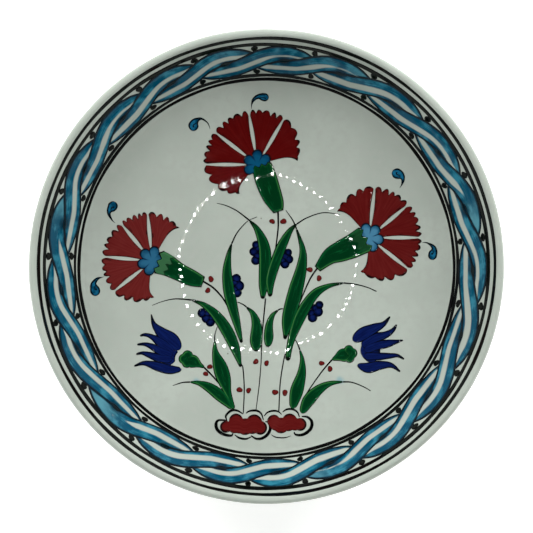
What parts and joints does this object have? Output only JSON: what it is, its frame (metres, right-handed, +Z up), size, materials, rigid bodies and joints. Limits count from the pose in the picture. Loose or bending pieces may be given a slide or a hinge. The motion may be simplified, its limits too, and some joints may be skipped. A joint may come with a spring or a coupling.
{
  "type": "deep coupe plate",
  "caption": "Round deep coupe plate on a foot ring, white glazed and hand painted with a rope border and a spray of carnations and tulips, for serving food or for display",
  "frame": {"origin": "centre of the foot ring's contact face, on the table", "axes": "+Z up along the plate's axis, +Y towards the top of the painted spray, +X to its right"},
  "size_m": [0.2, 0.2, 0.046],
  "materials": {
    "clay_body": "matt fired clay body, bare at the foot ring",
    "white_glaze": "glossy greenish white glaze over white slip",
    "black_line": "black brush line under clear glaze",
    "red_relief": "thick red clay colour in low relief under clear glaze",
    "green_colour": "deep green brushed colour under clear glaze",
    "cobalt_colour": "dark cobalt blue brushed colour under clear glaze",
    "turquoise_colour": "turquoise blue wash under clear glaze"
  },
  "bodies": {
    "root": {"plate_body": "clay_body", "white_ground": "white_glaze", "recess_glaze": "white_glaze", "rim_line": "black_line", "rope_outer_line": "black_line", "rope_inner_line": "black_line", "well_line": "black_line", "rope_strands": "turquoise_colour", "rope_outlines": "black_line", "rope_eyes": "black_line", "rope_outer_dots": "black_line", "rope_inner_dots": "black_line", "top_carnation_petals": "red_relief", "top_carnation_heart": "turquoise_colour", "top_carnation_calyx": "green_colour", "top_carnation_curls": "turquoise_colour", "left_carnation_petals": "red_relief", "left_carnation_heart": "turquoise_colour", "left_carnation_calyx": "green_colour", "left_carnation_curls": "turquoise_colour", "right_carnation_petals": "red_relief", "right_carnation_heart": "turquoise_colour", "right_carnation_calyx": "green_colour", "right_carnation_curls": "turquoise_colour", "left_tulip_petals": "cobalt_colour", "left_tulip_calyx": "green_colour", "right_tulip_petals": "cobalt_colour", "right_tulip_calyx": "green_colour", "centre_leaves": "green_colour", "left_leaves": "green_colour", "right_leaves": "green_colour", "small_leaves": "green_colour", "left_tulip_leaves": "green_colour", "right_tulip_leaves": "green_colour", "leaf_whips": "black_line", "carnation_stems": "black_line", "tulip_stems": "black_line", "berries": "cobalt_colour", "red_dots": "red_relief", "left_clump": "red_relief", "right_clump": "red_relief", "clump_outlines": "black_line"}
  },
  "joints": []
}
